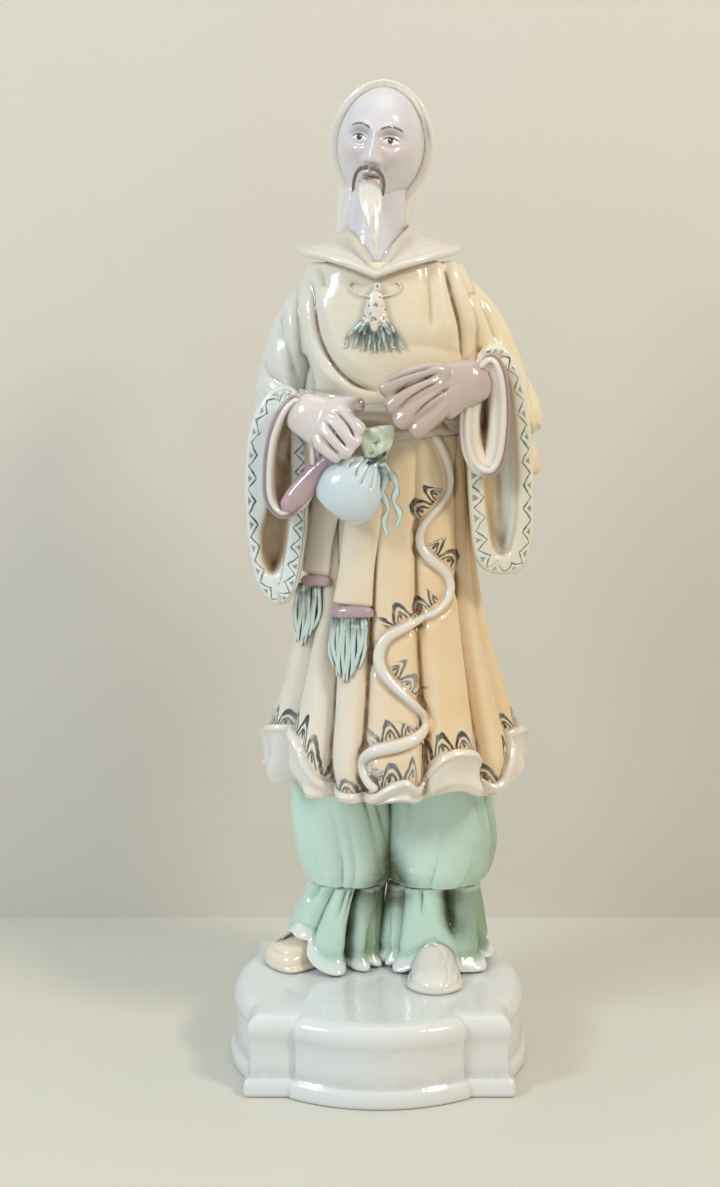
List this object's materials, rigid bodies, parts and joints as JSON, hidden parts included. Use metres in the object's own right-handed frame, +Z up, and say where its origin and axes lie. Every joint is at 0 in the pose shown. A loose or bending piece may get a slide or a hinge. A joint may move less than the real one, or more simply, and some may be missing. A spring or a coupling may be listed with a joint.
{
  "type": "ceramic figurine",
  "caption": "Glazed ceramic figurine of a standing bearded man in a wide-sleeved robe, holding a pouch, on a serpentine plinth.",
  "frame": {"origin": "middle of the plinth's flat underside, where it rests on a table", "axes": "+Z up along the standing figure, +X towards the figure's own left, -Y towards its front"},
  "size_m": [0.1455, 0.131, 0.4521],
  "materials": {
    "white_plinth": "gloss clear glaze over white",
    "robe_cream": "gloss clear glaze over warm cream, brown wash in the folds",
    "ivory_trim": "gloss clear glaze over ivory",
    "mint_trousers": "gloss clear glaze over mint green, whitish edges",
    "peach_shoes": "gloss clear glaze over peach",
    "flesh": "gloss clear glaze over pinkish flesh",
    "mauve": "gloss clear glaze over mauve",
    "teal_fringe": "gloss clear glaze over pale teal with dark strokes",
    "pale_blue_pouch": "gloss clear glaze over pale blue white",
    "brown_hair": "gloss clear glaze over brown"
  },
  "bodies": {
    "root": {"plinth": "white_plinth", "right_shoe": "peach_shoes", "left_shoe": "peach_shoes", "right_ankle_flounce": "mint_trousers", "left_ankle_flounce": "mint_trousers", "right_trouser_leg": "mint_trousers", "left_trouser_leg": "mint_trousers", "robe_skirt": "robe_cream", "hem_roll": "ivory_trim", "torso": "robe_cream", "waist_sash": "ivory_trim", "head": "flesh", "collar": "ivory_trim", "right_sleeve": "robe_cream", "left_sleeve": "robe_cream", "right_cuff": "ivory_trim", "left_cuff": "ivory_trim", "right_hand": "flesh", "left_hand": "flesh", "right_cuff_lining": "mauve", "pouch": "pale_blue_pouch", "pouch_frill": "teal_fringe", "pouch_cord_long": "teal_fringe", "pouch_cord_short": "teal_fringe", "front_sash_tail": "robe_cream", "front_sash_band": "mauve", "front_sash_fringe": "teal_fringe", "side_sash_tail": "robe_cream", "side_sash_band": "mauve", "side_sash_fringe": "teal_fringe", "front_edging": "ivory_trim", "skull_cap": "ivory_trim", "moustache": "brown_hair", "goatee": "ivory_trim", "chest_clasp": "ivory_trim", "clasp_tassel": "teal_fringe"}
  },
  "joints": []
}
